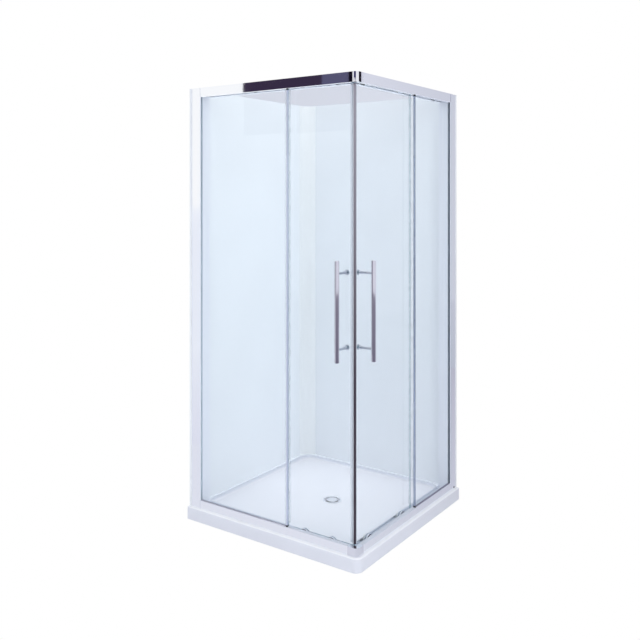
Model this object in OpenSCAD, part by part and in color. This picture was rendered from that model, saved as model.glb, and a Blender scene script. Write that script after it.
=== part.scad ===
// Corner-entry shower enclosure: tray, wall panels and two framed screens with sliding doors.
// Origin: centre of the tray's underside. +Z is up, the room's walls are at -X and +Y.
// Everything is drawn for the front screen (along X) and mirrored for the side screen (along Y).

/* [Tray] */
// Side of the square tray
tray_side = 900; // [840:10:1000]
// Height of the tray's rim above the floor
tray_h = 55; // [44:1:70]
// Thickness of the tray's acrylic shell
tray_wall_t = 4; // [3:0.5:5]
// Radius of the tray's free corner, in plan
tray_corner_r = 30; // [15:1:45]
// Rounding of the rim's outer edge
tray_edge_r = 5; // [2:0.5:8]
// Depth of the well below the rim
well_depth = 21; // [14:1:22]
// Corner radius of the well, in plan
well_corner_r = 60; // [40:1:90]
// Radius of the cove between the well's walls and its floor
well_cove_r = 12; // [6:1:14]
// Width of the rim along the two open sides
rim_open_w = 88; // [80:1:110]
// Width of the rim along the two walls
rim_wall_w = 20; // [14:1:30]

/* [Waste] */
// Place of the waste from the tray's centre, along X
waste_x = 10; // [-60:1:60]
// Place of the waste from the tray's centre, along Y
waste_y = 23; // [-20:1:80]
// Outer diameter of the bright flange
flange_d = 90; // [88:1:100]
// Diameter of the opening in the flange
opening_d = 72; // [66:1:76]
// Diameter of the domed cover
cover_d = 46; // [36:1:56]
// Height of the cover's dome
cover_rise = 5; // [3:0.5:8]
// Diameter of the stem under the cover
cover_stem_d = 6; // [5:0.5:8]
// Inside diameter of the outlet
outlet_d = 40; // [32:1:44]
// Height that the cover lifts to clear its grate
cover_lift = 30; // [20:1:60]

/* [Wall panels] */
// Thickness of the wall panels
panel_t = 10; // [6:1:14]
// Radius of the cove in the far corner
cove_r = 60; // [50:5:120]
// Thickness of the cove
cove_t = 3; // [2:0.5:4]

/* [Frame] */
// Height of the frame's top above the floor
frame_top = 1922; // [1700:1:2100]
// Distance of the frame's outer face inside the tray's edge
frame_inset = 13; // [10:1:20]
// Height of the top rail
top_rail_h = 40; // [38:1:60]
// Height of the bottom rail
bottom_rail_h = 35.5; // [35:0.5:60]
// Depth of the rails and posts, outside to inside
frame_d = 62; // [62:1:72]
// Wall thickness of the extrusions
wall_t = 1.8; // [1.5:0.1:2]
// Width of the post's outer face
post_w = 48; // [44:1:70]
// Width of wall channel that shows beside the post
channel_show = 6; // [4:1:12]
// How far the channel reaches into the post
channel_grip = 26; // [18:1:28]
// Length of rail left off at the top corner for its block
top_corner_leg = 36; // [24:1:44]
// Length of rail left off at the bottom corner for its block
bottom_corner_leg = 45; // [36:1:60]
// Rounding of the corner blocks, in plan
corner_r = 16; // [6:1:20]
// Diameter of the wall fixing holes
wall_hole_d = 5.5; // [4:0.5:7]
// Distance between the wall fixing holes
wall_hole_pitch = 1400; // [1000:10:1500]
// Thread diameter of the frame screws
screw_d = 4.2; // [3.5:0.1:5]

/* [Glass] */
// Thickness of all the glass
glass_t = 6; // [5:0.5:8]
// Depth of the fixed glass's middle behind the frame's outer face
fixed_n = 9; // [8.5:0.5:15]
// Depth of the door glass's middle behind the frame's outer face
door_n = 40; // [39.5:0.5:41]
// Free edge of the front fixed glass, from the tray's centre
front_free = 95; // [20:1:120]
// Free edge of the side fixed glass, from the tray's centre
side_free = -42; // [-90:1:0]
// Overlap of each door behind its fixed glass
door_overlap = 18; // [8:1:30]
// Distance from the corner of the two door planes to each door's leading edge
door_lead_gap = 5; // [4:0.5:8]
// Visible height of the glazing seal
seal_lip = 2; // [1.5:0.5:6]
// Width of the strip on the fixed glass's free edge
strip_w = 5; // [5:0.5:16]

/* [Handles] */
// Diameter of the handle bar
bar_d = 19; // [16:1:25]
// Length of the handle bar
bar_len = 395; // [330:5:600]
// Distance between the two stand-offs
post_pitch = 295; // [200:5:310]
// Height of the middle of the handle
bar_mid_z = 995; // [850:1:1150]
// Distance from the door glass to the bar's axis
bar_reach = 64; // [50:1:85]
// Distance from the door's leading edge to the stand-offs
bar_edge = 31; // [22:1:40]
// Diameter of the stand-off's stem
stem_d = 10; // [9:1:14]
// Diameter of the stand-off's boss against the glass
boss_d = 13; // [12:1:24]

/* [Rollers] */
// Outer diameter of the wheels
wheel_d = 23; // [20:1:26]
// Width of the wheels
wheel_w = 8; // [6:0.5:8]
// Depth of the running groove round each wheel
groove_deep = 1.5; // [1:0.25:2]
// Diameter of the wheel axles
axle_d = 5; // [4:0.5:6]
// Distance from the door's leading edge to the first roller
roller_lead = 96; // [60:1:110]
// Distance from the door's trailing edge to the second roller
roller_trail = 85; // [60:1:100]
// Radius of the bottom roller housings
housing_r = 20; // [16:1:22]
// Radius of the top roller housings
top_housing_r = 13; // [10:0.5:14]

/* [Travel] */
// Gap left between the front handle and the fixed glass when the door is open
handle_gap = 5; // [3:1:20]
// Gap left between the side door and its post when the door is open
post_gap = 10; // [4:1:40]

/* [Hidden] */

$fn = 64;
// Clearances: pieces that slip together, a running shaft, and pieces that pass each other
fit_gap = 0.1;
run_gap = 0.05;
pass_gap = 0.3;
eps = 1;

half = tray_side / 2;
face = -half + frame_inset;
well_floor_z = tray_h - well_depth;
rail_top_z = tray_h + bottom_rail_h;
head_z = frame_top - top_rail_h;
cap_t = 2;

// Glazing groove: glass and a seal each side
seal_t = 3;
groove_w = glass_t + 2 * seal_t;
groove_d = 11.5;
groove_n0 = fixed_n - groove_w / 2;
groove_n1 = fixed_n + groove_w / 2;
box_n = groove_n1 + wall_t + 3.2;

// Posts and channels
channel_x0 = -half + panel_t;
post_x0 = channel_x0 + channel_show;
post_x1 = post_x0 + post_w;
channel_side_gap = 0.4;

// Track: the wheel's groove runs on a tongue
track_t = 2;
tongue_t = 2;
wheel_r = wheel_d / 2;
run_r = wheel_r - groove_deep;
wheel_clear = 0.6;
cheek_t = 3.4;
cheek_n0 = door_n + glass_t / 2;
wheel_n0 = cheek_n0 + cheek_t + wheel_clear;
wheel_mid_n = wheel_n0 + wheel_w / 2;
bottom_axle_z = tray_h + track_t + wheel_clear + wheel_r;
top_axle_z = head_z + track_t + wheel_clear + wheel_r;
tongue_drop = run_r + pass_gap;

// Doors
lead_x = half - frame_inset - door_n - door_lead_gap;
front_trail = front_free - door_overlap;
side_trail = side_free - door_overlap;
door_z0 = tray_h + track_t + 3;
door_z1 = top_axle_z + 14;
bolt_r = 4;
bolt_head_r = 6.5;
bolt_head_t = 2.4;
cap_plate_t = 6;
cap_plate_n0 = door_n - glass_t / 2 - cap_plate_t;
bottom_bolt_z = bottom_axle_z + 8;
handle_x = lead_x - bar_edge;
stud_r = 4;

// Strip on each fixed glass and clips on the door glass
strip_lap = 1.2;
clip_t = 1.85;
clip_grip = 8;

// How far each door slides
front_travel = handle_x - boss_d / 2 - handle_gap - (front_free + strip_lap);
side_travel = (side_trail - clip_t) - post_x1 - post_gap;

// Rotates a section drawn in (depth, height) so that it runs along X
module along_x(x0, x1) {
    translate([x0, 0, 0]) rotate([90, 0, 90]) linear_extrude(x1 - x0) children();
}

// A rectangle of a rail's section, given in depth behind the outer face and in height
module cell(n0, n1, z0, z1) {
    translate([face + n0, z0]) square([n1 - n0, z1 - z0]);
}

// A block of the front screen, given by its lengths, depths and heights
module block(x0, x1, n0, n1, z0, z1) {
    translate([x0, face + n0, z0]) cube([x1 - x0, n1 - n0, z1 - z0]);
}

// A round bar square to the front screen
module round_n(x, z, r, n0, n1) {
    translate([x, face + n0, z]) rotate([-90, 0, 0]) cylinder(r = r, h = n1 - n0);
}

// The side screen is the front one mirrored about the plane through both corners
module on_side() {
    mirror([1, 1, 0]) children();
}

module rounded_square(x0, x1, r) {
    translate([x0 + r, x0 + r]) circle(r);
    translate([x1 - r, x0 + r]) circle(r);
    translate([x0 + r, x1 - r]) circle(r);
    translate([x1 - r, x1 - r]) circle(r);
    translate([x0 + r, x0]) square([x1 - x0 - 2 * r, x1 - x0]);
    translate([x0, x0 + r]) square([x1 - x0, x1 - x0 - 2 * r]);
}

// Tray

well_lo = -half + rim_wall_w;
well_hi = half - rim_open_w;

// The well, grown by a wall's thickness for its outside; drawn in (X, -Y) and mirrored at the end
module well(grow) {
    lo = well_lo - grow;
    hi = well_hi + grow;
    corner = well_corner_r + grow;
    cove = well_cove_r + grow;
    floor_z = well_floor_z - grow;
    mid_z = floor_z + cove;
    mirror([0, 1, 0]) {
        translate([0, 0, mid_z]) linear_extrude(tray_h + eps - mid_z) rounded_square(lo, hi, corner);
        translate([0, 0, floor_z]) linear_extrude(cove + eps)
            rounded_square(lo + cove, hi - cove, corner - cove);
        for (turn = [0 : 3]) {
            translate([(lo + hi) / 2, (lo + hi) / 2, 0]) rotate([0, 0, 90 * turn])
                translate([(hi - lo) / 2 - corner, (hi - lo) / 2 - corner, mid_z])
                    rotate_extrude(angle = 90) translate([corner - cove, 0]) circle(cove);
            translate([(lo + hi) / 2, (lo + hi) / 2, 0]) rotate([0, 0, 90 * turn])
                translate([(hi - lo) / 2 - cove, -((hi - lo) / 2 - corner), mid_z])
                    rotate([-90, 0, 0]) cylinder(r = cove, h = hi - lo - 2 * corner);
        }
    }
}

// The tray's outline: square, with the free corner rounded
module tray_outline(inset) {
    r = tray_corner_r - inset;
    difference() {
        translate([-half + inset, -half + inset]) square(tray_side - 2 * inset);
        translate([half - inset - r, -half + inset]) difference() {
            translate([0, -eps]) square([r + eps, r + eps]);
            translate([0, r]) circle(r);
        }
    }
}

// What is cut away to round the rim's outer edge on the two open sides
module rim_rounding() {
    r = tray_edge_r;
    run = tray_side - tray_corner_r;
    for (side = [0, 1]) mirror([side, side, 0])
        translate([-half - eps, -half, tray_h - r]) difference() {
            translate([0, -eps, 0]) cube([run + eps, r + eps, r + eps]);
            translate([-eps, r, 0]) rotate([0, 90, 0]) cylinder(r = r, h = run + 3 * eps);
        }
    translate([half - tray_corner_r, -half + tray_corner_r, tray_h - r])
        rotate([0, 0, -90]) rotate_extrude(angle = 90) translate([tray_corner_r - r, 0])
            difference() {
                square([r + eps, r + eps]);
                circle(r);
            }
}

sleeve_t = 1.5;
sleeve_r = opening_d / 2 + sleeve_t;
tray_hole_r = sleeve_r + 0.7;
washer_r = sleeve_r + 12.5;
under_z = well_floor_z - tray_wall_t;
gasket_t = 1.6;
body_flange_t = 3;
body_wall_t = 3;
body_floor_z = 5;
core_floor_z = body_floor_z - 0.4;
tail_r = outlet_d / 2 + 3;

module tray_shell() {
    color("white") difference() {
        linear_extrude(tray_h) tray_outline(0);
        rim_rounding();
        difference() {
            translate([0, 0, -eps]) linear_extrude(tray_h - tray_wall_t + eps)
                tray_outline(tray_wall_t);
            well(tray_wall_t);
        }
        well(0);
        translate([waste_x, waste_y, 0]) cylinder(r = tray_hole_r, h = tray_h);
    }
}

module tray_core() {
    gap = 0.2;
    color("tan") difference() {
        linear_extrude(under_z - gap) tray_outline(tray_wall_t + gap);
        translate([waste_x, waste_y, core_floor_z]) cylinder(r = washer_r + 2, h = tray_h);
        translate([waste_x, waste_y, -eps]) cylinder(r = tail_r + 2, h = tray_h);
    }
}

// A ring about the waste's axis
module waste_ring(r0, r1, z0, z1) {
    translate([waste_x, waste_y, z0]) difference() {
        cylinder(r = r1, h = z1 - z0);
        translate([0, 0, -eps]) cylinder(r = r0, h = z1 - z0 + 2 * eps);
    }
}

flange_t = 2;
grate_z = well_floor_z - 12;
grate_t = 4;
grate_ring_w = 2.5;
hub_r = cover_stem_d / 2 + 4;
collar_r = cover_stem_d / 2 + 3;

module waste_flange() {
    r = flange_d / 2;
    color("silver") translate([waste_x, waste_y, 0]) rotate_extrude() difference() {
        union() {
            translate([opening_d / 2, well_floor_z]) square([r - opening_d / 2 - flange_t, flange_t]);
            translate([r - flange_t, well_floor_z]) intersection() {
                circle(flange_t);
                square(flange_t);
            }
            translate([opening_d / 2, grate_z - 1.5])
                square([sleeve_t, well_floor_z - grate_z + 1.5 + fit_gap]);
            translate([opening_d / 2 - 1.5, grate_z - 1.5]) square([1.5 + fit_gap, 1.5]);
        }
        translate([0, 0]) square([opening_d / 2 - 1.5, tray_h]);
    }
}

module waste_grate() {
    outer = opening_d / 2 - fit_gap;
    color("silver") translate([waste_x, waste_y, grate_z]) difference() {
        union() {
            difference() {
                cylinder(r = outer, h = grate_t);
                translate([0, 0, -eps]) cylinder(r = outer - grate_ring_w, h = grate_t + 2 * eps);
            }
            cylinder(r = hub_r, h = grate_t);
            for (turn = [0 : 2]) rotate([0, 0, 120 * turn + 30])
                translate([0, -2, 0]) cube([outer - 1, 4, grate_t - 1]);
        }
        translate([0, 0, -eps]) cylinder(r = cover_stem_d / 2 + run_gap, h = grate_t + 2 * eps);
    }
}

module waste_gasket() {
    color("dimgray") waste_ring(tray_hole_r, washer_r, under_z - gasket_t, under_z);
}

module waste_body() {
    top = under_z - gasket_t;
    wall_r = sleeve_r + 0.2;
    color("gainsboro") {
        difference() {
            union() {
                waste_ring(wall_r, washer_r, top - body_flange_t, top);
                waste_ring(wall_r, wall_r + body_wall_t, body_floor_z, top);
                translate([waste_x, waste_y, body_floor_z])
                    cylinder(r = wall_r + 1, h = body_wall_t);
                translate([waste_x, waste_y, 0.5]) cylinder(r = tail_r, h = body_floor_z);
            }
            translate([waste_x, waste_y, -eps]) cylinder(r = outlet_d / 2, h = tray_h);
        }
    }
}

// Domed cover with a collar that rests on the grate and a stem that guides it
module waste_cover() {
    r = cover_d / 2;
    dome_r = (r * r + cover_rise * cover_rise) / (2 * cover_rise);
    rim_z = well_floor_z + flange_t;
    collar_z = grate_z + grate_t + 0.1;
    stem_z = grate_z - 4;
    color("silver") translate([waste_x, waste_y, 0]) {
        difference() {
            intersection() {
                translate([0, 0, rim_z + cover_rise - dome_r]) sphere(dome_r, $fn = 96);
                translate([0, 0, rim_z - 1.5]) cylinder(r = r, h = cover_rise + 2);
            }
            translate([0, 0, rim_z - 2]) cylinder(r = r - 2, h = 1.5);
        }
        translate([0, 0, collar_z]) cylinder(r = collar_r, h = rim_z - collar_z);
        translate([0, 0, stem_z]) cylinder(r = cover_stem_d / 2, h = collar_z - stem_z + 0.5);
    }
}

// Wall panels

fix_hole_zs = [for (side = [-1, 1]) (tray_h + frame_top) / 2 + side * wall_hole_pitch / 2];
fix_n = frame_d / 2;

// Holes for the wall fixings, through the channel's base and the panel
module wall_fixing_holes() {
    for (z = fix_hole_zs) translate([-half - eps, face + fix_n, z])
        rotate([0, 90, 0]) cylinder(d = wall_hole_d, h = panel_t + 3 * wall_t + 2 * eps);
}

module left_wall_panel() {
    color("aliceblue") difference() {
        translate([-half, face, tray_h]) cube([panel_t, half - face, frame_top - tray_h]);
        wall_fixing_holes();
    }
}

module back_wall_panel() {
    color("aliceblue") difference() {
        translate([-half + panel_t, half - panel_t, tray_h])
            cube([tray_side - panel_t - frame_inset, panel_t, frame_top - tray_h]);
        on_side() wall_fixing_holes();
    }
}

// A curved piece that rounds the far corner, with a lid that closes the space behind it
module corner_cove() {
    axis = -half + panel_t + cove_r;
    color("white") translate([axis, -axis, tray_h]) rotate([0, 0, 90]) {
        rotate_extrude(angle = 90) translate([cove_r - cove_t, 0])
            square([cove_t, frame_top - tray_h]);
        translate([0, 0, frame_top - tray_h - cove_t]) linear_extrude(cove_t) difference() {
            square(cove_r);
            circle(cove_r - cove_t);
        }
    }
}

// Wall channels and posts

module wall_channel() {
    n0 = wall_t + channel_side_gap;
    n1 = frame_d - wall_t - channel_side_gap;
    x1 = post_x0 + channel_grip;
    color("silver") difference() {
        block(channel_x0, x1, n0, n1, tray_h, frame_top - cap_t);
        block(channel_x0 + wall_t, x1 + eps, n0 + wall_t, n1 - wall_t, tray_h - eps, frame_top);
        wall_fixing_holes();
        channel_screw_holes(screw_d / 2);
    }
}

screw_x = post_x0 + channel_grip / 2;
screw_end = 160;
screw_zs = [tray_h + screw_end, (tray_h + frame_top) / 2, frame_top - screw_end];
screw_head_r = 4;
screw_head_t = 2.2;

// Screws from the shower side hold the post on the channel
module channel_screw_holes(r) {
    for (z = screw_zs) round_n(screw_x, z, r, frame_d / 2 + 5, frame_d + eps);
}

module post_outline() {
    groove_x = post_x1 - groove_d;
    difference() {
        translate([post_x0, face]) square([post_w, frame_d]);
        translate([post_x0 - eps, face + wall_t])
            square([post_w - wall_t + eps, frame_d - 2 * wall_t]);
    }
    difference() {
        translate([groove_x - wall_t, face + groove_n0 - wall_t])
            square([groove_d + wall_t, groove_w + 2 * wall_t]);
        translate([groove_x, face + groove_n0]) square([groove_d, groove_w]);
    }
}

plug_r = 3;
plug_head_r = 4;
plug_x = post_x0 + 3 * plug_head_r;
plug_z = tray_h + 8;

module post(plug_hole) {
    color("silver") difference() {
        translate([0, 0, tray_h]) linear_extrude(frame_top - cap_t - tray_h) difference() {
            post_outline();
            translate([post_x1 - groove_d, face + groove_n0]) square([groove_d + eps, groove_w]);
        }
        channel_screw_holes(screw_d / 2 + fit_gap);
        if (plug_hole) round_n(plug_x, plug_z, plug_r + run_gap, -eps, wall_t + eps);
    }
}

// A thin lid on each post, over the channel too
module post_cap() {
    color("silver") {
        block(channel_x0, post_x1, 0, frame_d, frame_top - cap_t, frame_top);
        block(post_x0 + channel_grip + 1, post_x1 - groove_d - wall_t - 1, wall_t + channel_side_gap,
            frame_d - wall_t - channel_side_gap, frame_top - cap_t - 8, frame_top - cap_t + eps / 2);
    }
}

module post_caps() {
    post_cap();
    on_side() post_cap();
}

// The black plug low on the side post
module post_hole_plug() {
    color("black") on_side() {
        round_n(plug_x, plug_z, plug_head_r, -1.2, 0);
        round_n(plug_x, plug_z, plug_r, -0.2, wall_t + 0.2);
    }
}

// Rails

corner_screw_in = 14;

module bottom_rail_section() {
    z0 = tray_h;
    z1 = rail_top_z;
    groove_z = z1 - groove_d;
    cell(0, wall_t, z0, z1);
    cell(0, groove_n0, z1 - wall_t, z1);
    cell(groove_n0 - wall_t, groove_n0, groove_z - wall_t, z1);
    cell(groove_n0 - wall_t, groove_n1 + wall_t, groove_z - wall_t, groove_z);
    cell(groove_n1, groove_n1 + wall_t, groove_z - wall_t, z1);
    cell(groove_n1, box_n, z1 - wall_t, z1);
    cell(box_n - wall_t, box_n, z0, z1);
    cell(0, frame_d, z0, z0 + track_t);
    cell(wheel_mid_n - tongue_t / 2, wheel_mid_n + tongue_t / 2, z0, bottom_axle_z - tongue_drop);
    cell(frame_d - wall_t, frame_d, z0, z0 + 16);
}

module top_rail_section() {
    z0 = head_z;
    z1 = frame_top;
    groove_z = z0 + groove_d;
    cell(0, wall_t, z0, z1);
    cell(0, groove_n0, z0, z0 + wall_t);
    cell(groove_n0 - wall_t, groove_n0, z0, groove_z + wall_t);
    cell(groove_n0 - wall_t, groove_n1 + wall_t, groove_z, groove_z + wall_t);
    cell(groove_n1, groove_n1 + wall_t, z0, groove_z + wall_t);
    cell(groove_n1, box_n, z0, z0 + wall_t);
    cell(box_n - wall_t, box_n, z0, z1);
    cell(0, frame_d, z1 - track_t, z1);
    cell(frame_d - wall_t, frame_d, z0, z1);
    cell(wheel_n0 - 0.4, frame_d, z0, z0 + track_t);
    cell(wheel_mid_n - tongue_t / 2, wheel_mid_n + tongue_t / 2, z0, top_axle_z - tongue_drop);
}

// Cuts a rail's end: the box for the corner block, the track on the mitre
module corner_cut(box_end) {
    reach = 2 * frame_d;
    translate([box_end, face - eps, 0]) cube([reach, box_n + fit_gap + eps, frame_top + eps]);
    in_mitre() translate([0, -fit_gap, -eps]) cube([2 * half, half, frame_top + 2 * eps]);
}

top_box_end = half - frame_inset - top_corner_leg;
bottom_box_end = half - frame_inset - bottom_corner_leg;

module rail(box_end, screw_z) {
    color("silver") difference() {
        along_x(post_x1, half - frame_inset) children();
        corner_cut(box_end);
        round_n(box_end - corner_screw_in, screw_z, screw_d / 2 + fit_gap, box_n - 4, box_n + eps);
    }
}

top_spigot_z = head_z + groove_d + wall_t + 0.6;
bottom_spigot_z = tray_h + track_t + 0.2;
top_screw_z = top_spigot_z + 13;
bottom_screw_z = bottom_spigot_z + 14;

module top_rail() {
    rail(top_box_end, top_screw_z) top_rail_section();
}

module bottom_rail() {
    rail(bottom_box_end, bottom_screw_z) bottom_rail_section();
}

// An L-shaped block over the corner, with a spigot up each rail
module corner_block(box_end, z0, z1, spigot_z0, spigot_z1, screw_z) {
    proud = 0.8;
    outer = half - frame_inset + proud;
    leg = outer - box_end - fit_gap;
    spigot = 2 * corner_screw_in;
    color("silver") difference() {
        union() {
            for (side = [0, 1]) mirror([side, side, 0]) {
                translate([outer - leg, -outer, z0]) cube([leg, box_n + proud, z1 - z0]);
                block(box_end - spigot, box_end + 1, wall_t + 0.2, box_n - wall_t - 0.2,
                    spigot_z0, spigot_z1);
            }
        }
        translate([outer - corner_r, -outer - eps, z0 - eps]) difference() {
            cube([corner_r + eps, corner_r + eps, z1 - z0 + 2 * eps]);
            translate([0, corner_r + eps, -eps]) cylinder(r = corner_r, h = z1 - z0 + 4 * eps);
        }
        for (side = [0, 1]) mirror([side, side, 0])
            round_n(box_end - corner_screw_in, screw_z, screw_d / 2, box_n - 12, box_n);
    }
}

module top_corner_block() {
    corner_block(top_box_end, head_z, frame_top, top_spigot_z, frame_top - track_t - 0.2,
        top_screw_z);
}

module bottom_corner_block() {
    corner_block(bottom_box_end, tray_h, rail_top_z, bottom_spigot_z,
        rail_top_z - groove_d - wall_t - 0.2, bottom_screw_z);
}

// Pan-head screw: head on the shower side, shank towards the outside
module screw_n(x, z, n_seat, length) {
    round_n(x, z, screw_head_r, n_seat, n_seat + screw_head_t);
    round_n(x, z, screw_d / 2 - run_gap, n_seat - length, n_seat + 0.5);
}

module frame_screw_set() {
    for (z = screw_zs) screw_n(screw_x, z, frame_d, 7);
    screw_n(top_box_end - corner_screw_in, top_screw_z, box_n, 11);
    screw_n(bottom_box_end - corner_screw_in, bottom_screw_z, box_n, 11);
}

module frame_screws() {
    color("gray") frame_screw_set();
    color("gray") on_side() frame_screw_set();
}

// Snap-in strips that close the empty part of each groove beside the doors
module infill_pair(free_x) {
    x0 = free_x + strip_lap + 0.6 + pass_gap;
    n0 = groove_n0 + fit_gap;
    n1 = groove_n1 - fit_gap;
    deep = 8;
    difference() {
        block(x0, bottom_box_end, n0, n1, rail_top_z - deep, rail_top_z);
        block(x0 - eps, bottom_box_end + eps, n0 + wall_t, n1 - wall_t, rail_top_z - deep - eps,
            rail_top_z - wall_t);
    }
    difference() {
        block(x0, top_box_end, n0, n1, head_z, head_z + deep);
        block(x0 - eps, top_box_end + eps, n0 + wall_t, n1 - wall_t, head_z + wall_t,
            head_z + deep + eps);
    }
}

module rail_infills() {
    color("silver") infill_pair(front_free);
    color("silver") on_side() infill_pair(side_free);
}

// Rubber blocks on the top track that the first and last wheel stop against
stop_len = 12;
stop_h = 20;

module stop_pair(trail, travel) {
    closed_x = lead_x - roller_lead + wheel_r + pass_gap;
    open_x = trail + roller_trail - travel - wheel_r - pass_gap;
    for (x = [closed_x, open_x - stop_len]) difference() {
        block(x, x + stop_len, wheel_n0 + 0.4, frame_d - wall_t - 1, head_z + track_t,
            head_z + track_t + stop_h);
        block(x - eps, x + stop_len + eps, wheel_mid_n - tongue_t / 2 - fit_gap,
            wheel_mid_n + tongue_t / 2 + fit_gap, head_z, top_axle_z - tongue_drop + fit_gap);
    }
}

module door_stops() {
    color("dimgray") stop_pair(front_trail, front_travel);
    color("dimgray") on_side() stop_pair(side_trail, side_travel);
}

// Fixed glass and what holds it

glass_n0 = fixed_n - glass_t / 2;
glass_n1 = fixed_n + glass_t / 2;
bite = groove_d - 1;

module fixed_glass(free_x) {
    color("lightblue", 0.4)
        block(post_x1 - bite, free_x, glass_n0, glass_n1, rail_top_z - bite, head_z + bite);
}

// A gasket round three edges of the fixed glass, with a lip that shows
module glazing_seal(free_x) {
    side_gap = 0.1;
    color("slategray") difference() {
        block(post_x1 - groove_d + side_gap, free_x - strip_w - pass_gap, groove_n0 + side_gap,
            groove_n1 - side_gap, rail_top_z - groove_d + side_gap, head_z + groove_d - side_gap);
        block(post_x1 - bite, free_x, glass_n0, glass_n1, rail_top_z - bite, head_z + bite);
        block(post_x1 + seal_lip, free_x, 0, box_n, rail_top_z + seal_lip, head_z - seal_lip / 2);
    }
}

strip_wrap = 1.2;
strip_cap_h = 6;

// A channel along the fixed glass's free edge
module edge_strip(free_x) {
    color("slategray") difference() {
        block(free_x + strip_lap - strip_w, free_x + strip_lap, glass_n0 - strip_wrap,
            glass_n1 + strip_wrap, rail_top_z + strip_cap_h, head_z - strip_cap_h);
        block(free_x - strip_w - eps, free_x, glass_n0, glass_n1, rail_top_z, head_z);
    }
}

module strip_cap_pair(free_x) {
    lap = 0.6;
    for (z = [rail_top_z, head_z - strip_cap_h]) difference() {
        block(free_x + strip_lap - strip_w - lap, free_x + strip_lap + lap,
            glass_n0 - strip_wrap - lap, glass_n1 + strip_wrap + lap, z, z + strip_cap_h);
        block(free_x - 2 * strip_w, free_x, glass_n0, glass_n1, z - eps, z + strip_cap_h + eps);
        block(free_x - 2 * strip_w, free_x - strip_w + 2 * lap, glass_n0 - 5, glass_n1 + 5,
            z - eps, z + strip_cap_h + eps);
    }
}

module edge_strip_caps() {
    color("black") strip_cap_pair(front_free);
    color("black") on_side() strip_cap_pair(side_free);
}

// Doors

handle_zs = [bar_mid_z - post_pitch / 2, bar_mid_z + post_pitch / 2];
door_n0 = door_n - glass_t / 2;
door_n1 = door_n + glass_t / 2;

function roller_xs(trail) = [lead_x - roller_lead, trail + roller_trail];

module door_glass(trail) {
    color("lightblue", 0.4) difference() {
        block(trail, lead_x, door_n0, door_n1, door_z0, door_z1);
        for (z = handle_zs) round_n(handle_x, z, stud_r + fit_gap, door_n0 - eps, door_n1 + eps);
        for (x = roller_xs(trail), z = [bottom_bolt_z, top_axle_z])
            round_n(x, z, bolt_r + fit_gap, door_n0 - eps, door_n1 + eps);
    }
}

// Meeting seal, in plan: a clip on the glass and a nose that ends on the mitre.
// u runs outward along the mitre and v square to it.
nose_u0 = (half - frame_inset - door_n) * sqrt(2);
nose_u1 = nose_u0 + 16;
magnet_u0 = nose_u0 + 4;
magnet_w = 4.8;
nose_wall = 2.3;
meet_gap = 0.2;
visible_gap = 1.5;
seal_z0 = rail_top_z + visible_gap;
seal_z1 = head_z - visible_gap;

module in_mitre() {
    rotate([0, 0, -45]) children();
}

module seal_outline() {
    far = magnet_w + nose_wall + meet_gap;
    difference() {
        union() {
            translate([lead_x - clip_grip, face + door_n0 - clip_t])
                square([clip_grip + clip_t + 2, glass_t + 2 * clip_t]);
            in_mitre() translate([nose_u0 - 5, -far]) square([magnet_u0 - nose_u0 + 5, far]);
            in_mitre() translate([magnet_u0 - eps, -far])
                square([nose_u1 - magnet_u0 + eps, nose_wall]);
        }
        translate([lead_x - 2 * clip_grip, face + door_n0]) square([2 * clip_grip, glass_t]);
        in_mitre() translate([0, -meet_gap]) square([2 * half, 50]);
    }
}

module door_seal() {
    color("lightsteelblue") translate([0, 0, seal_z0]) linear_extrude(seal_z1 - seal_z0)
        seal_outline();
}

module door_magnet() {
    color("black") translate([0, 0, seal_z0]) linear_extrude(seal_z1 - seal_z0)
        in_mitre() translate([magnet_u0, -meet_gap - magnet_w])
            square([nose_u1 - magnet_u0, magnet_w]);
}

// A clip on the trailing edge, with a fin towards the fixed glass
module trailing_seal(trail) {
    fin_t = 1.2;
    fin_n0 = glass_n1 + strip_wrap + 0.6;
    fin_z_gap = seal_lip + 2;
    color("lightsteelblue") {
        difference() {
            block(trail - clip_t, trail + clip_grip, door_n0 - clip_t, door_n1 + clip_t, seal_z0,
                seal_z1);
            block(trail, trail + clip_grip + eps, door_n0, door_n1, seal_z0 - eps, seal_z1 + eps);
        }
        block(trail + 1, trail + 1 + fin_t, fin_n0, door_n0 - clip_t + eps / 2,
            rail_top_z + fin_z_gap, head_z - fin_z_gap);
    }
}

bar_n = door_n0 - bar_reach;

module handle_bar() {
    edge = 1.5;
    color("gainsboro") translate([handle_x, face + bar_n, bar_mid_z - bar_len / 2]) difference() {
        rotate_extrude() polygon([
            [0, 0], [bar_d / 2 - edge, 0], [bar_d / 2, edge], [bar_d / 2, bar_len - edge],
            [bar_d / 2 - edge, bar_len], [0, bar_len]
        ]);
        for (z = handle_zs) translate([0, 0, z - bar_mid_z + bar_len / 2]) rotate([-90, 0, 0])
            cylinder(r = stem_d / 2 + fit_gap, h = bar_d);
    }
}

// Stem into the bar, boss on the glass and a stud through it
module handle_posts() {
    boss_t = 12;
    cap_reach = 4;
    color("gainsboro") for (z = handle_zs) {
        round_n(handle_x, z, stem_d / 2, bar_n + fit_gap, door_n0 - 1);
        round_n(handle_x, z, boss_d / 2, door_n0 - boss_t, door_n0);
        round_n(handle_x, z, stud_r, door_n0 - 1, door_n1 + cap_reach);
    }
}

module handle_caps() {
    cap_r = 11;
    cap_h = 5.5;
    color("gainsboro") for (z = handle_zs) translate([handle_x, face + door_n1, z])
        rotate([-90, 0, 0]) rotate_extrude() polygon([
            [stud_r + run_gap, 0], [cap_r, 0], [cap_r, cap_h - 2], [cap_r - 2, cap_h],
            [0, cap_h], [0, cap_h - 1.2], [stud_r + run_gap, cap_h - 1.2]
        ]);
}

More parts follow.
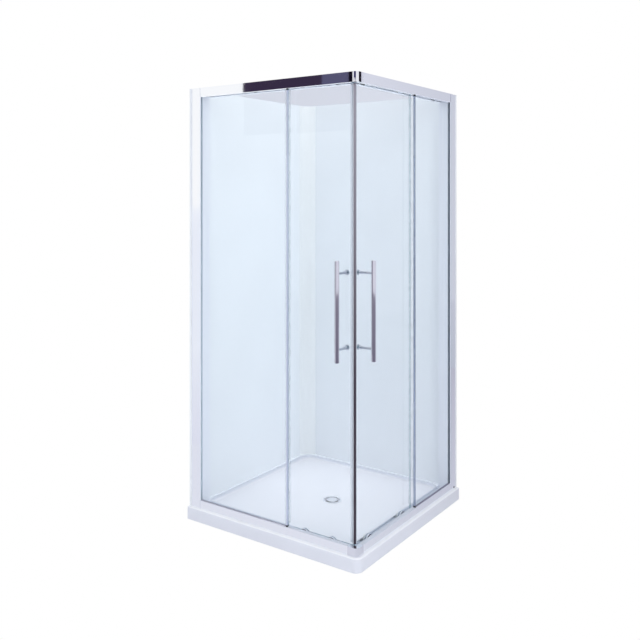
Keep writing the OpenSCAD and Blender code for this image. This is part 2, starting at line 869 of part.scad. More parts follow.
// Axle stub with a riveted end, which holds the wheel
module axle_stub(x, z) {
    end_n = wheel_n0 + wheel_w + wheel_clear / 2;
    round_n(x, z, axle_d / 2, cheek_n0 + 1, end_n + 0.5);
    round_n(x, z, axle_d / 2 + 1.5, end_n, end_n + 1.2);
}

module bolt_hole(x, z) {
    round_n(x, z, bolt_r + fit_gap, cap_plate_n0 - eps, cheek_n0 + cheek_t - 1.2);
}

module top_carriers(trail) {
    color("gainsboro") for (x = roller_xs(trail)) {
        difference() {
            union() {
                round_n(x, top_axle_z, top_housing_r, cheek_n0, cheek_n0 + cheek_t);
                axle_stub(x, top_axle_z);
            }
            bolt_hole(x, top_axle_z);
        }
        difference() {
            round_n(x, top_axle_z, top_housing_r - 1, cap_plate_n0, door_n0);
            bolt_hole(x, top_axle_z);
        }
    }
}

// A plate with a round top and a flat foot just above the track
module arch(x, n0, n1) {
    foot = door_z0 - bottom_axle_z;
    translate([x, face + n1, bottom_axle_z]) rotate([90, 0, 0]) linear_extrude(n1 - n0)
        intersection() {
            union() {
                circle(housing_r);
                translate([-housing_r, foot]) square([2 * housing_r, -foot]);
            }
            translate([-housing_r, foot]) square([2 * housing_r, housing_r - foot]);
        }
}

module bottom_carriers(trail) {
    color("gainsboro") for (x = roller_xs(trail)) {
        difference() {
            union() {
                arch(x, cheek_n0, cheek_n0 + cheek_t);
                axle_stub(x, bottom_axle_z);
            }
            bolt_hole(x, bottom_bolt_z);
        }
        difference() {
            arch(x, cap_plate_n0, door_n0);
            bolt_hole(x, bottom_bolt_z);
        }
    }
}

module carrier_bolts(trail) {
    color("gray") for (x = roller_xs(trail), z = [bottom_bolt_z, top_axle_z]) {
        round_n(x, z, bolt_head_r, cap_plate_n0 - bolt_head_t, cap_plate_n0);
        round_n(x, z, bolt_r, cap_plate_n0 - 0.5, cheek_n0 + cheek_t - 1.4);
    }
}

module wheel(x, z) {
    tread = tongue_t + 1;
    side_w = (wheel_w - tread) / 2;
    color("white") translate([x, face + wheel_n0, z]) rotate([-90, 0, 0]) rotate_extrude()
        polygon([
            [axle_d / 2 + run_gap, 0], [wheel_r, 0], [wheel_r, side_w], [run_r, side_w],
            [run_r, side_w + tread], [wheel_r, side_w + tread], [wheel_r, wheel_w],
            [axle_d / 2 + run_gap, wheel_w]
        ]);
}

tray_shell();
tray_core();
waste_flange();
waste_grate();
waste_gasket();
waste_body();
waste_cover();
left_wall_panel();
back_wall_panel();
corner_cove();
wall_channel();  // front_wall_channel
on_side() wall_channel();  // side_wall_channel
post(false);  // front_post
on_side() post(true);  // side_post
post_caps();
post_hole_plug();
frame_screws();
top_rail();  // front_top_rail
on_side() top_rail();  // side_top_rail
bottom_rail();  // front_bottom_rail
on_side() bottom_rail();  // side_bottom_rail
top_corner_block();
bottom_corner_block();
rail_infills();
door_stops();
fixed_glass(front_free);  // front_fixed_glass
on_side() fixed_glass(side_free);  // side_fixed_glass
glazing_seal(front_free);  // front_glazing_seal
on_side() glazing_seal(side_free);  // side_glazing_seal
edge_strip(front_free);  // front_edge_strip
on_side() edge_strip(side_free);  // side_edge_strip
edge_strip_caps();
door_glass(front_trail);  // front_door_glass
door_seal();  // front_door_seal
door_magnet();  // front_door_magnet
trailing_seal(front_trail);  // front_trailing_seal
handle_bar();  // front_handle_bar
handle_posts();  // front_handle_posts
handle_caps();  // front_handle_caps
top_carriers(front_trail);  // front_top_carriers
bottom_carriers(front_trail);  // front_bottom_carriers
carrier_bolts(front_trail);  // front_carrier_bolts
on_side() door_glass(side_trail);  // side_door_glass
on_side() door_seal();  // side_door_seal
on_side() door_magnet();  // side_door_magnet
on_side() trailing_seal(side_trail);  // side_trailing_seal
on_side() handle_bar();  // side_handle_bar
on_side() handle_posts();  // side_handle_posts
on_side() handle_caps();  // side_handle_caps
on_side() top_carriers(side_trail);  // side_top_carriers
on_side() bottom_carriers(side_trail);  // side_bottom_carriers
on_side() carrier_bolts(side_trail);  // side_carrier_bolts
wheel(roller_xs(0)[0], top_axle_z);  // front_top_wheel_lead
wheel(roller_xs(front_trail)[1], top_axle_z);  // front_top_wheel_trail
wheel(roller_xs(0)[0], bottom_axle_z);  // front_bottom_wheel_lead
wheel(roller_xs(front_trail)[1], bottom_axle_z);  // front_bottom_wheel_trail
on_side() wheel(roller_xs(0)[0], top_axle_z);  // side_top_wheel_lead
on_side() wheel(roller_xs(side_trail)[1], top_axle_z);  // side_top_wheel_trail
on_side() wheel(roller_xs(0)[0], bottom_axle_z);  // side_bottom_wheel_lead
on_side() wheel(roller_xs(side_trail)[1], bottom_axle_z);  // side_bottom_wheel_trail
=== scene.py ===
import math

import bmesh
import bpy
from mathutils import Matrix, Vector


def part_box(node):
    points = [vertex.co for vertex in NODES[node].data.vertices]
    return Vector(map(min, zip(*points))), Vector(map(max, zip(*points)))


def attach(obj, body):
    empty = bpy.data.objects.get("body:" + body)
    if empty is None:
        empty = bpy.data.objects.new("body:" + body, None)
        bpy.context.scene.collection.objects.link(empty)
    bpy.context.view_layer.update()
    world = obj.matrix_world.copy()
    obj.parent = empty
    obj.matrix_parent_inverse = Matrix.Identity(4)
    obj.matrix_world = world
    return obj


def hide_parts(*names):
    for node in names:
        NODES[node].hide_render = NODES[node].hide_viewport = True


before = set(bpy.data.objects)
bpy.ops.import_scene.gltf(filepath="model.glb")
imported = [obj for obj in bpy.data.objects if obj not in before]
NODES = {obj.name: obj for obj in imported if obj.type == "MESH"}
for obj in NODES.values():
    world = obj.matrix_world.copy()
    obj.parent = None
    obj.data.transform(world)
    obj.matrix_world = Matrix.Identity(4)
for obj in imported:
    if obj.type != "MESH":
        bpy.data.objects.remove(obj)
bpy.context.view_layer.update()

scene = bpy.context.scene
scene.view_settings.view_transform = "Standard"

# Levels and faces of the frame that the pieces, materials and cards are set from
MM = 0.001
FACE = -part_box("front_top_rail")[0][1]
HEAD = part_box("front_top_rail")[0][2]
RAIL_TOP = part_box("front_bottom_rail")[1][2]

# Camera, solved from the object's straight edges
CAMERA_PLACE = (2.018, -2.9468, 1.4471)
CAMERA_TURN = 34.9614
CAMERA_LENS = 43.5454
CAMERA_SHIFT = -0.19556
cam_data = bpy.data.cameras.new("camera")
cam = bpy.data.objects.new("camera", cam_data)
scene.collection.objects.link(cam)
cam.location = CAMERA_PLACE
cam.rotation_euler = (math.radians(90), 0, math.radians(CAMERA_TURN))
cam_data.sensor_width = 36.0
cam_data.sensor_fit = "HORIZONTAL"
cam_data.lens = CAMERA_LENS
cam_data.shift_y = CAMERA_SHIFT
cam_data.clip_start = 0.05
cam_data.clip_end = 200
scene.camera = cam


# Node helpers
def srgb(r, g, b):
    """Linear colour of an sRGB value given in 0..255."""
    out = []
    for c in (r, g, b):
        c = c / 255.0
        out.append(c / 12.92 if c <= 0.04045 else ((c + 0.055) / 1.055) ** 2.4)
    return (out[0], out[1], out[2], 1.0)


def darker(color, share):
    return tuple(c * share for c in color[:3]) + (1.0,)


WHITE = (1, 1, 1, 1)
BLACK = (0, 0, 0, 1)


class Tree:
    """A small builder for the shader nodes of a material or the world."""

    def __init__(self, owner, output="ShaderNodeOutputMaterial"):
        owner.use_nodes = True
        self.nt = owner.node_tree
        self.nt.nodes.clear()
        self.out = self.new(output)

    def new(self, kind, **props):
        n = self.nt.nodes.new(kind)
        for k, v in props.items():
            setattr(n, k, v)
        return n

    def link(self, a, b):
        self.nt.links.new(a, b)

    def put(self, value, socket):
        """Sets a plain number or colour on a socket, or links another node's output to it."""
        if isinstance(value, (int, float, tuple)):
            socket.default_value = value
        else:
            self.link(value, socket)

    def coords(self):
        return self.new("ShaderNodeTexCoord").outputs["Object"]

    def split(self, vector):
        """The X, Y and Z outputs of a vector."""
        s = self.new("ShaderNodeSeparateXYZ")
        self.link(vector, s.inputs[0])
        return s.outputs

    def geometry(self, output):
        return self.new("ShaderNodeNewGeometry").outputs[output]

    def mapping(self, scale):
        m = self.new("ShaderNodeMapping")
        m.inputs["Scale"].default_value = scale
        self.link(self.coords(), m.inputs["Vector"])
        return m.outputs[0]

    def noise(self, scale, detail=3.0, rough=0.5, vector=None):
        n = self.new("ShaderNodeTexNoise")
        n.inputs["Scale"].default_value = scale
        n.inputs["Detail"].default_value = detail
        n.inputs["Roughness"].default_value = rough
        self.link(vector or self.coords(), n.inputs["Vector"])
        return n.outputs["Fac"]

    def ranged(self, fac, lo, hi, out_lo=0, out_hi=1):
        m = self.new("ShaderNodeMapRange")
        for i, v in enumerate((lo, hi, out_lo, out_hi)):
            m.inputs[i + 1].default_value = v
        self.link(fac, m.inputs[0])
        return m.outputs[0]

    def math(self, op, a, b=None):
        m = self.new("ShaderNodeMath", operation=op)
        self.put(a, m.inputs[0])
        if b is not None:
            self.put(b, m.inputs[1])
        return m.outputs[0]

    def mix(self, fac, a, b):
        """One colour or the other: a where fac is 0, b where it is 1."""
        m = self.new("ShaderNodeMix", data_type="RGBA")
        for value, i in ((fac, 0), (a, 6), (b, 7)):
            self.put(value, m.inputs[i])
        return m.outputs[2]

    def choose(self, fac, a, b):
        """One shader or the other: a where fac is 0, b where it is 1."""
        m = self.new("ShaderNodeMixShader")
        for value, socket in zip((fac, a, b), m.inputs):
            self.put(value, socket)
        return m.outputs[0]

    def shader(self, kind, color, **sockets):
        """A plain shader of one colour."""
        s = self.new(kind)
        s.inputs["Color"].default_value = color
        for name, v in sockets.items():
            s.inputs[name].default_value = v
        return s.outputs[0]

    def bump(self, height, strength, distance):
        b = self.new("ShaderNodeBump")
        b.inputs["Strength"].default_value = strength
        b.inputs["Distance"].default_value = distance
        self.link(height, b.inputs["Height"])
        return b.outputs[0]

    def principled(self, color, rough, metal=0.0, normal=None, **sockets):
        p = self.new("ShaderNodeBsdfPrincipled")
        for name, v in (("Base Color", color), ("Roughness", rough), ("Metallic", metal)):
            self.put(v, p.inputs[name])
        for name, v in sockets.items():
            p.inputs[name.replace("_", " ")].default_value = v
        if normal is not None:
            self.link(normal, p.inputs["Normal"])
        return p.outputs[0]

    def finish(self, shader):
        self.link(shader, self.out.inputs["Surface"])


# Materials. Brushed grain runs along one axis
ALONG_X = (2.0, 300.0, 300.0)
ALONG_Y = (300.0, 2.0, 300.0)
ALONG_Z = (300.0, 300.0, 2.0)

# Frame: outward faces are polished within SKIN of the screen's face, and everywhere below BOTTOM_RAILS
SHOWN = srgb(246, 248, 252)
MILL = srgb(240, 242, 249)
MILL_DARK = srgb(230, 232, 241)
# Painted shade: the mill faces that look up are drawn in this darker tone
MILL_TOP_SHADE = srgb(202, 206, 217)
SKIN = 2 * MM
BOTTOM_RAILS = 95 * MM

# Acrylic: the tray's ledge lies above TRAY_LEDGE, where faces that look up get a painted highlight.
# CLOUD is how dark the cloud in the colour gets
TRAY_LEDGE = 50 * MM
CLOUD = 0.024

# Glass and clear plastic: VEIL is the share of each pane that scatters light
VEIL = 0.03
GLASS_TINT = (0.975, 0.99, 0.996, 1)
GLASS_EDGE = srgb(120, 170, 180)
GLASS_VEIL = srgb(225, 238, 250)
PVC_TINT = (0.99, 0.995, 1, 1)


def start(name):
    """A new material and the builder of its nodes."""
    m = bpy.data.materials.new(name)
    return m, Tree(m)


def acrylic(name, color, rough=0.16, painted_top_light=None, ledge=None):
    """Moulded gloss acrylic: a faint cloud in the colour and a very soft ripple.

    Two optional tones are painted light: one on the faces that look up, and ledge, a painted highlight
    on those above TRAY_LEDGE."""
    m, t = start(name)
    cloud = t.noise(3.0, 4.0, 0.55)
    base = color
    # Painted light: faces that look up are drawn paler, and those above TRAY_LEDGE paler still
    if painted_top_light:
        looks_up = t.ranged(t.split(t.geometry("Normal"))[2], 0.2, 0.8)
        painted_top_light = t.mix(t.math("GREATER_THAN", t.split(t.coords())[2], TRAY_LEDGE), painted_top_light, ledge)
        base = t.mix(looks_up, color, painted_top_light)
    clouded = t.mix(CLOUD, base, BLACK)
    col = t.mix(t.ranged(cloud, 0.35, 0.65), clouded, base)
    ro = t.ranged(t.noise(14.0, 3.0), 0.3, 0.7, rough * 0.85, rough * 1.2)
    ripple = t.bump(t.noise(40.0, 2.0), 0.04, 0.002)
    t.finish(t.principled(col, ro, 0.0, ripple, Specular_IOR_Level=0.45))
    return m


def metal(name, color, rough, brushed=None, spread=0.3, variation=0.03, bump=0):
    """Metal with a fine grain. brushed is the scale along X, Y and Z: low along the grain.

    spread is how far the roughness varies, and variation how far the colour does."""
    m, t = start(name)
    grain = t.noise(1.0, 3.0, 0.6, t.mapping(brushed)) if brushed else t.noise(60.0, 4.0, 0.6)
    smear = t.noise(7.0, 4.0, 0.5)
    col = t.mix(t.ranged(grain, 0.3, 0.7), darker(color, 1 - variation), color)
    ro = t.math("ADD", t.ranged(grain, 0.3, 0.7, rough * (1 - spread), rough * (1 + spread)),
                t.ranged(smear, 0.4, 0.7, 0.0, rough * 0.3))
    normal = t.bump(grain, bump, 0.0004) if bump else None
    t.finish(t.principled(col, ro, 1.0, normal))
    return m


def extrusion(name, rough, brushed, axis, sign):
    """A frame member of the screen that faces sign along axis.

    Its outermost faces are polished, and so are all outward ones as high as the bottom rails. The
    faces behind them keep the pale mill finish, with painted shade where they look up."""
    m, t = start(name)
    grain = t.noise(1.0, 3.0, 0.6, t.mapping(brushed))
    ro = t.ranged(grain, 0.3, 0.7, rough * 0.8, rough * 1.2)
    polished = t.principled(SHOWN, ro, 1.0)
    mill_color = t.mix(t.ranged(grain, 0.3, 0.7), MILL_DARK, MILL)
    place = t.split(t.coords())
    normal = t.split(t.geometry("True Normal"))
    # Painted shade on the mill faces that look up
    mill_color = t.mix(t.math("GREATER_THAN", normal[2], 0.5), mill_color, MILL_TOP_SHADE)
    mill = t.principled(mill_color, 0.38, 0.0, t.bump(grain, 0.05, 0.0004))
    outward = t.math("GREATER_THAN", t.math("MULTIPLY", normal[axis], sign), 0.5)
    outer = t.math("GREATER_THAN", t.math("MULTIPLY", place[axis], sign), FACE - SKIN)
    outer = t.math("MAXIMUM", outer, t.math("LESS_THAN", place[2], BOTTOM_RAILS))
    t.finish(t.choose(t.math("MULTIPLY", outward, outer), mill, polished))
    return m


def pvc(name, color, clear):
    """Clear flexible plastic. clear is the share of light that goes straight through."""
    m, t = start(name)
    fine = t.noise(30.0, 3.0, 0.6)
    body = t.principled(t.mix(t.ranged(fine, 0.35, 0.65), darker(color, 0.94), color), 0.25)
    see = t.shader("ShaderNodeBsdfTransparent", PVC_TINT)
    t.finish(t.choose(t.ranged(fine, 0.3, 0.7, clear - 0.04, clear + 0.04), body, see))
    return m


def magnet_strip(name, low, high, z_low, z_high):
    """Matt magnetic strip with a painted reflection that makes it paler towards its top."""
    m, t = start(name)
    fine = t.noise(300.0, 3.0, 0.6)
    # Painted reflection: the colour turns paler from z_low to z_high
    painted_sheen = t.ranged(t.split(t.coords())[2], z_low, z_high)
    painted_sheen = t.math("MULTIPLY", painted_sheen, t.ranged(fine, 0.3, 0.7, 0.92, 1.0))
    ro = t.ranged(fine, 0.3, 0.7, 0.4, 0.5)
    t.finish(t.principled(t.mix(painted_sheen, low, high), ro, 0.0, t.bump(fine, 0.1, 0.0006)))
    return m


def soft(name, color, rough, bump=0.1, scale=250.0):
    """Plastic or rubber with a fine moulded texture."""
    m, t = start(name)
    fine = t.noise(scale, 3.0, 0.6)
    col = t.mix(t.ranged(fine, 0.35, 0.65), darker(color, 0.9), color)
    ro = t.ranged(fine, 0.3, 0.7, rough * 0.9, min(1.0, rough * 1.15))
    t.finish(t.principled(col, ro, 0.0, t.bump(fine, bump, 0.0006)))
    return m


def glass(name, axis):
    """A toughened pane across axis: faces that let light straight through with a faint tint and a
    thin veil, and green edges."""
    m, t = start(name)
    see = t.shader("ShaderNodeBsdfTransparent", GLASS_TINT)
    clear = t.choose(VEIL, see, t.shader("ShaderNodeBsdfDiffuse", GLASS_VEIL))
    shine = t.shader("ShaderNodeBsdfGlossy", WHITE, Roughness=0.01)
    fresnel = t.new("ShaderNodeFresnel")
    fresnel.inputs["IOR"].default_value = 1.45
    smudge = t.ranged(t.noise(5.0, 5.0, 0.6), 0.3, 0.7, 0.9, 1.0)
    front = t.math("SUBTRACT", 1.0, t.geometry("Backfacing"))
    fac = t.math("MULTIPLY", t.math("MULTIPLY", fresnel.outputs[0], smudge), front)
    face = t.choose(fac, clear, shine)
    rim = t.principled(GLASS_EDGE, 0.12, 0.0, Alpha=0.75)
    across = t.math("ABSOLUTE", t.split(t.geometry("True Normal"))[axis])
    t.finish(t.choose(t.math("GREATER_THAN", across, 0.5), rim, face))
    return m


def dress(material, *names):
    for name in names:
        mesh = NODES[name].data
        mesh.materials.clear()
        mesh.materials.append(material)


# One white acrylic in three tones of painted light: its sides, its faces that look up, and its ledge
dress(acrylic("tray_acrylic", srgb(234, 236, 245), 0.14, srgb(240, 239, 244),
              srgb(247, 249, 255)), "tray_shell")
dress(acrylic("wall_acrylic", srgb(244, 247, 251), 0.2), "left_wall_panel", "back_wall_panel")
# Painted light: the corner cove is drawn paler than the walls, against the shade of the corner
dress(acrylic("wall_acrylic_cove_lit", srgb(252, 254, 255)), "corner_cove")
dress(soft("core_board", srgb(190, 184, 170), 0.8, 0.4, 90.0), "tray_core")
dress(extrusion("frame_aluminium_x", 0.03, ALONG_X, 1, -1),
      "front_top_rail", "front_bottom_rail", "rail_infills")
dress(extrusion("frame_aluminium_y", 0.03, ALONG_Y, 0, 1), "side_top_rail", "side_bottom_rail")
dress(extrusion("frame_aluminium_z", 0.06, ALONG_Z, 1, -1),
      "front_post", "front_wall_channel", "post_caps")
dress(extrusion("frame_aluminium_z_side", 0.06, ALONG_Z, 0, 1), "side_post", "side_wall_channel")
# The edge strips are one metal in two tones: the front strip's paler colour is painted light, the side
# strip's darker one painted shade
dress(metal("strip_aluminium", srgb(224, 230, 246), 0.34, ALONG_Z, 0.2, 0.02),
      "front_edge_strip")
dress(metal("strip_aluminium_side_shaded", srgb(178, 186, 204), 0.22, ALONG_Z, 0.2, 0.02),
      "side_edge_strip")
dress(metal("chrome", srgb(232, 233, 240), 0.012, variation=0.01),
      "top_corner_block", "bottom_corner_block")
dress(metal("waste_chrome", srgb(250, 250, 254), 0.6, spread=0.2, variation=0.02),
      "waste_flange", "waste_cover")
dress(soft("waste_inner", srgb(236, 236, 244), 0.4), "waste_grate")
dress(metal("screw_steel", srgb(190, 190, 196), 0.25, spread=0.25, bump=0.03), "frame_screws")
dress(soft("waste_plastic", srgb(215, 215, 212), 0.45), "waste_body")
dress(soft("black_plastic", srgb(30, 28, 34), 0.45, 0.2, 400.0),
      "edge_strip_caps", "post_hole_plug")
dress(soft("black_rubber", srgb(38, 38, 40), 0.7, 0.3, 400.0), "waste_gasket", "door_stops")

handle_chrome = metal("handle_chrome", srgb(233, 231, 238), 0.05, ALONG_Z)
post_chrome = metal("post_chrome", srgb(208, 213, 223), 0.3)
housing = soft("roller_housing", srgb(224, 229, 240), 0.3, 0.04, 200.0)
# Dark metal of the carrier bolts, and a painted reflection on the roller rims, where it stands for the
# housing's dark edge
bolt_metal_and_painted_rim = metal("roller_rim", srgb(96, 98, 116), 0.2, variation=0.05)
clear_seal = pvc("clear_seal", srgb(236, 241, 252), 0.45)
clear_fin = pvc("clear_fin", srgb(246, 249, 254), 0.86)
magnet = magnet_strip("magnet_strip", srgb(52, 40, 56), srgb(150, 146, 158), 0.7, 1.75)
nylon = soft("wheel_nylon", srgb(236, 236, 230), 0.35, 0.05, 300.0)
for side, across in (("front", 1), ("side", 0)):
    dress(glass("glass_" + side, across), side + "_fixed_glass", side + "_door_glass")
    dress(clear_seal, side + "_door_seal")
    dress(clear_fin, side + "_trailing_seal")
    dress(magnet, side + "_door_magnet")
    dress(handle_chrome, side + "_handle_bar")
    dress(post_chrome, side + "_handle_posts", side + "_handle_caps")
    dress(housing, side + "_top_carriers", side + "_bottom_carriers")
    dress(bolt_metal_and_painted_rim, side + "_carrier_bolts")
    for level in ("top", "bottom"):
        for end in ("lead", "trail"):
            dress(nylon, f"{side}_{level}_wheel_{end}")


# Pieces that only the scene has
def at(side, x, n, z):
    """A point of a screen in metres: x along it, n behind its face. The side screen is mirrored."""
    return (x, -FACE + n, z) if side == "front" else (FACE - n, -x, z)


def mesh_piece(name, verts, faces, body, materials, smooth=True):
    mesh = bpy.data.meshes.new(name)
    mesh.from_pydata(verts, [], faces)
    bm = bmesh.new()
    bm.from_mesh(mesh)
    bmesh.ops.recalc_face_normals(bm, faces=bm.faces)
    bm.to_mesh(mesh)
    bm.free()
    obj = bpy.data.objects.new(name, mesh)
    scene.collection.objects.link(obj)
    for m in materials:
        mesh.materials.append(m)
    for p in mesh.polygons:
        p.use_smooth = smooth
    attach(obj, body)
    return obj


# Half of the gasket's section in mm: n from the middle of the glass, t from the rail's edge inwards
SEAL_HALF = [(5.9, -11.4), (5.9, 0.4), (5.6, 1.2), (5.0, 1.8), (4.2, 2.0), (3.5, 1.8), (3.0, 1.1),
             (3.0, -10.5)]
TOP_SHARE = 0.5


def gasket(side, *painted_tones):
    """One gasket bent round three edges of a fixed pane, with rounded lips and mitred corners.

    Its bottom, upright and top runs each take one colour, painted light and shade on one gasket. The top
    run's lips are TOP_SHARE as high."""
    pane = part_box("front_fixed_glass" if side == "front" else "side_fixed_glass")
    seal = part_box(side + "_glazing_seal")
    if side == "front":
        free_x, mid_n = seal[1][0], (pane[0][1] + pane[1][1]) / 2 + FACE
        post_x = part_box("front_post")[1][0]
    else:
        free_x, mid_n = -seal[0][1], FACE - (pane[0][0] + pane[1][0]) / 2
        post_x = -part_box("side_post")[0][1]
    section = SEAL_HALF + [(-n, t) for n, t in reversed(SEAL_HALF)]
    verts = []
    for k in range(4):
        for n, t in section:
            up = t if k < 2 or t < 0 else t * TOP_SHARE
            x = free_x if k in (0, 3) else post_x + t * MM
            z = RAIL_TOP + t * MM if k < 2 else HEAD - up * MM
            verts.append(at(side, x, mid_n + n * MM, z))
    count = len(section)
    faces = [tuple(range(count)), tuple(range(3 * count, 4 * count))]
    for k in range(3):
        for i in range(count):
            j = (i + 1) % count
            faces.append((k * count + i, k * count + j, (k + 1) * count + j, (k + 1) * count + i))
    names = ("bottom", "upright", "top")
    mats = [soft(f"{side}_gasket_{n}", c, 0.4, 0.1, 300.0) for n, c in zip(names, painted_tones)]
    obj = mesh_piece(side + "_gasket", verts, faces, "enclosure", mats, False)
    for k, p in enumerate(obj.data.polygons):
        p.material_index = 0 if k == 0 else 2 if k == 1 else (k - 2) // count
    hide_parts(side + "_glazing_seal")
    return obj


# Painted light and shade: the same gasket is drawn paler or darker on each run and each screen
gaskets = [
    gasket("front", srgb(176, 175, 190), srgb(174, 185, 198), srgb(252, 253, 255)),
    gasket("side", srgb(146, 145, 166), srgb(112, 122, 138), srgb(214, 217, 230)),
]

BEAD_SIDES = 8
RIM_STEPS = 36
SEAL_SHORT = 0.3 * MM
SEAL_SUNK = 0.4


def bead_faces(first, steps):
    """Faces of a closed round bead whose rings of points start at the point first."""
    faces = []
    for i in range(steps):
        a = first + i * BEAD_SIDES
        for j in range(BEAD_SIDES):
            k = (j + 1) % BEAD_SIDES
            faces.append((a + j, a + k, a + BEAD_SIDES + k, a + BEAD_SIDES + j))
    last = first + steps * BEAD_SIDES
    faces.append(tuple(range(first, first + BEAD_SIDES)))
    faces.append(tuple(range(last, last + BEAD_SIDES)))
    return faces


def end_joint(side, x, radius, color):
    """Fine seals where the front post meets its two rails, and the side post its top rail.

    They end SEAL_SHORT below the rail's top, and their middle lies SEAL_SUNK of their radius behind
    its face."""
    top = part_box("front_top_rail")[1][2]
    spans = [(HEAD, top - SEAL_SHORT)]
    if side == "front":
        spans.append((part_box("front_bottom_rail")[0][2], RAIL_TOP))
    verts, faces = [], []
    for low, high in spans:
        faces += bead_faces(len(verts), 1)
        for z in (low, high):
            for j in range(BEAD_SIDES):
                b = 2 * math.pi * j / BEAD_SIDES
                n = radius * (SEAL_SUNK + math.sin(b))
                verts.append(at(side, x + radius * math.cos(b), n, z))
    material = soft("end_seal_" + side, color, 0.5)
    mesh_piece(side + "_rail_end_seals", verts, faces, "enclosure", [material])


end_joint("front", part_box("front_post")[1][0], 0.9 * MM, srgb(182, 188, 208))
end_joint("side", -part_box("side_post")[0][1], 1.6 * MM, srgb(132, 134, 158))


def roller_rim(side, end, bead):
    """A round bead along the top half of a bottom roller's housing. Its dark colour is a painted
    reflection of the housing's edge.
    """
    wheel_lo, wheel_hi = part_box(f"{side}_bottom_wheel_{end}")
    low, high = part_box(side + "_bottom_carriers")
    axle_z = (wheel_lo[2] + wheel_hi[2]) / 2
    radius = high[2] - axle_z - bead
    if side == "front":
        x, n = (wheel_lo[0] + wheel_hi[0]) / 2, low[1] + FACE
    else:
        x, n = -(wheel_lo[1] + wheel_hi[1]) / 2, FACE - high[0]
    verts = []
    for i in range(RIM_STEPS + 1):
        a = math.radians(180 * i / RIM_STEPS)
        for j in range(BEAD_SIDES):
            b = 2 * math.pi * j / BEAD_SIDES
            r = radius + bead * math.cos(b)
            verts.append(at(side, x + r * math.cos(a), n + bead * math.sin(b),
                            axle_z + r * math.sin(a)))
    mesh_piece(f"{side}_{end}_roller_rim", verts, bead_faces(0, RIM_STEPS), side + "_door",
               [bolt_metal_and_painted_rim])


for side, bead in (("front", 1.1 * MM), ("side", 1.6 * MM)):
    for end in ("lead", "trail"):
        roller_rim(side, end, bead)


# Studio
FLOOR_REACH = 40
FLOOR_LIT = (0.9, 0.9, 0.92, 1)
FLOOR_SEEN = (0.78, 0.79, 0.87, 1)
BACKDROP = srgb(222, 223, 234)
WORLD_FILL = (0.93, 0.96, 1.0, 1)
WORLD = 0.74


def surface(name, corners, material, faces=((0, 1, 2, 3),)):
    """A flat or curved sheet of the studio, which isn't part of the object."""
    mesh = bpy.data.meshes.new(name)
    mesh.from_pydata(corners, [], faces)
    obj = bpy.data.objects.new(name, mesh)
    scene.collection.objects.link(obj)
    mesh.materials.append(material)
    return obj


def studio_floor():
    """A floor that is white to the camera, pale in reflections, and lit by the lamps otherwise."""
    m, t = start("studio_floor")
    path = t.new("ShaderNodeLightPath")
    lit = t.shader("ShaderNodeBsdfDiffuse", FLOOR_LIT)
    low = t.shader("ShaderNodeEmission", FLOOR_SEEN)
    unseen = t.choose(path.outputs["Is Glossy Ray"], lit, low)
    white = t.shader("ShaderNodeEmission", WHITE)
    t.finish(t.choose(path.outputs["Is Camera Ray"], unseen, white))
    s = FLOOR_REACH
    surface("floor", [(-s, -s, 0), (s, -s, 0), (s, s, 0), (-s, s, 0)], m)


def studio_world():
    """White to the camera and in reflections, and the backdrop's tone through the glass."""
    scene.world = bpy.data.worlds.new("world")
    t = Tree(scene.world, "ShaderNodeOutputWorld")
    kind = "ShaderNodeBackground"
    path = t.new("ShaderNodeLightPath")
    behind = t.math("GREATER_THAN", path.outputs["Transparent Depth"], 0.5)
    straight = t.choose(behind, t.shader(kind, WHITE, Strength=1.0),
                        t.shader(kind, BACKDROP, Strength=1.0))
    shine = t.choose(path.outputs["Is Glossy Ray"], t.shader(kind, WORLD_FILL, Strength=WORLD),
                     t.shader(kind, WHITE, Strength=1.0))
    t.finish(t.choose(path.outputs["Is Camera Ray"], shine, straight))


studio_floor()
studio_world()


def card(name, corners, color, far=None, shade=None, faces=((0, 1, 2, 3),)):
    """A studio card that only reflections see. shade is the axis, start and end of its change to far."""
    m, t = start(name)
    glow = t.new("ShaderNodeEmission")
    glow.inputs["Color"].default_value = color
    if far:
        axis, near_end, far_end = shade
        fac = t.ranged(t.split(t.coords())[axis], near_end, far_end)
        t.link(t.mix(fac, color, far), glow.inputs["Color"])
    t.finish(glow.outputs[0])
    obj = surface(name, corners, m, faces)
    obj.visible_camera = False
    obj.visible_diffuse = False
    obj.visible_shadow = False
    obj.visible_transmission = False


def wall_card(name, x0, x1, z0, z1, color):
    """A card in front of the front screen."""
    y = -CARD_FAR
    card(name, [(x0, y, z0), (x1, y, z0), (x1, y, z1), (x0, y, z1)], color)


def side_card(name, y0, y1, z0, z1, near, far):
    """A card beside the side screen, shaded from its near to its far end."""
    x = CARD_FAR
    card(name, [(x, y0, z0), (x, y1, z0), (x, y1, z1), (x, y0, z1)], near, far, (1, y0, y1))


def ground_card(name, x0, x1, y0, y1, near, far):
    """A tone on the floor that only reflections see, shaded along Y."""
    z = 1 * MM
    card(name, [(x0, y0, z), (x0, y1, z), (x1, y1, z), (x1, y0, z)], near, far, (1, y0, y1))


def arc_card(name, first, last, top, high):
    """A low curved card round the corner, shaded upwards. Angles run from -Y towards +X."""
    verts = []
    for i in range(ARC_STEPS + 1):
        a = math.radians(first + (last - first) * i / ARC_STEPS)
        x = FACE - ARC_INSET + ARC_RADIUS * math.sin(a)
        y = -FACE - ARC_RADIUS * math.cos(a)
        verts += [(x, y, 0.0), (x, y, top)]
    faces = [(2 * i, 2 * i + 2, 2 * i + 3, 2 * i + 1) for i in range(ARC_STEPS)]
    card(name, verts, LOW_TONE, high, (2, 0, ARC_SHADED), faces)


CARD_FAR = 3.437
ARC_RADIUS = 3.0
ARC_INSET = 0.04
ARC_STEPS = 12
ARC_SHADED = 0.68
LOW_TONE = srgb(112, 109, 127)

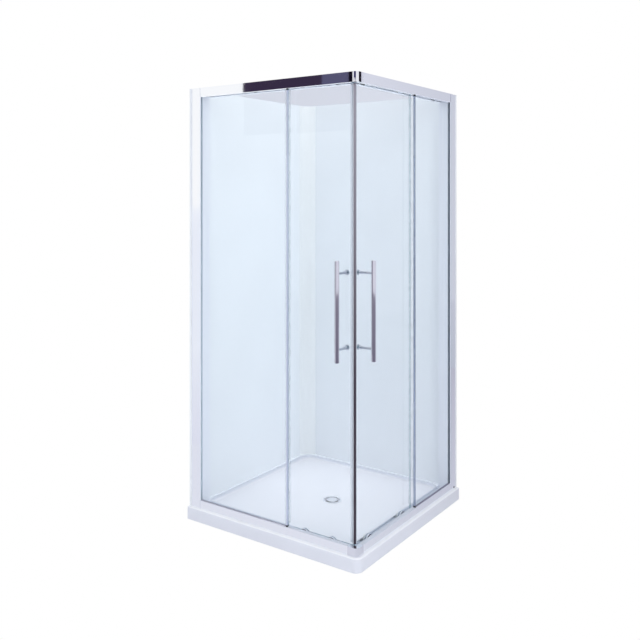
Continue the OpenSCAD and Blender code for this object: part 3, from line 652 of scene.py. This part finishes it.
wall_card("card_dark", -2.711, -1.815, 2.0, 2.9, srgb(56, 46, 68))
wall_card("card_grey", -1.815, -1.54, 2.0, 2.9, srgb(88, 86, 114))
wall_card("card_black", -1.54, -1.499, 2.0, 2.9, srgb(20, 16, 30))
wall_card("card_strip", -1.475, -1.34, 0.0, 3.2, srgb(148, 172, 180))
side_card("card_side", 4.408, 8.0, 0.0, 4.5, srgb(222, 223, 234), srgb(198, 201, 213))
side_card("card_side_black", 1.2, 4.408, 2.3, 3.2, srgb(34, 28, 44), srgb(20, 16, 30))
wall_card("card_corner", -1.12, 2.2, 2.355, 2.8, srgb(64, 62, 104))
arc_card("card_low_left", -150, -74, 2.6, srgb(60, 54, 70))
arc_card("card_low_mid", -31, -3, 1.2, srgb(98, 93, 108))
arc_card("card_low_right", -3, 122, 0.68, srgb(142, 139, 154))
for name, x0, x1, y0, y1, near, far in (
        ("", 0.46, 3.4, -0.7, 0.5, (226, 228, 238), (201, 202, 216)),
        ("_back", 0.46, 3.4, 0.5, 3.0, (201, 202, 216), (188, 187, 202)),
        ("_far", 0.46, 6.0, 3.0, 8.0, (190, 194, 207), (202, 203, 216)),
        ("_deep", -60.0, -1.5, -60.0, -CARD_FAR, (246, 248, 254), (238, 241, 249)),
        ("_left", -6.0, -0.6, -CARD_FAR, -1.2, (240, 243, 250), (227, 228, 240))):
    ground_card("card_ground" + name, x0, x1, y0, y1, srgb(*near), srgb(*far))


# Lamps
def area(name, location, target, size, energy, lit=()):
    """A soft lamp aimed at target, in watts. It lights only the objects in lit, if any are given."""
    light = bpy.data.lights.new(name, "AREA")
    light.shape = "RECTANGLE"
    light.size, light.size_y = size
    light.energy = energy
    obj = bpy.data.objects.new(name, light)
    scene.collection.objects.link(obj)
    obj.location = location
    obj.rotation_euler = (Vector(target) - Vector(location)).to_track_quat("-Z", "Y").to_euler()
    obj.visible_glossy = False
    obj.visible_camera = False
    if lit:
        receivers = bpy.data.collections.new("lit_by_" + name)
        for receiver in lit:
            receivers.objects.link(receiver)
        obj.light_linking.receiver_collection = receivers


area("key", (3.2, -2.4, 2.6), (-0.44, -0.1, 1.1), (2.0, 2.0), 30)
area("top", (0.35, -0.35, 8.0), (0.35, -0.35, 0), (2.5, 2.5), 190)
area("inside", (-0.05, 0.05, 2.9), (-0.05, 0.05, 0), (0.7, 0.7), 2.2)
area("under_rails", (0.9, -0.9, 0.3), (0.2, -0.2, 1.9), (1.6, 1.6), 38,
     (NODES["front_top_rail"], NODES["front_top_carriers"], gaskets[0]))
area("under_side_rail", (1.8, -0.5, 0.9), (0.44, 0, 1.9), (1.2, 1.2), 21,
     (NODES["side_top_rail"], NODES["side_top_carriers"], NODES["door_stops"], gaskets[1]))
area("left_fill", (1.6, -0.9, 1.0), (-0.44, -0.5, 1.0), (1.0, 1.7), 8.5,
     (NODES["left_wall_panel"], NODES["front_post"], NODES["front_wall_channel"]))

flag = surface("flag", [(0.5, 1.1, 0), (2.2, 1.1, 0), (2.2, 1.1, 1.1), (0.5, 1.1, 1.1)],
               soft("flag_cloth", srgb(12, 12, 12), 0.9))
flag.visible_camera = False
flag.visible_glossy = False
flag.visible_transmission = False
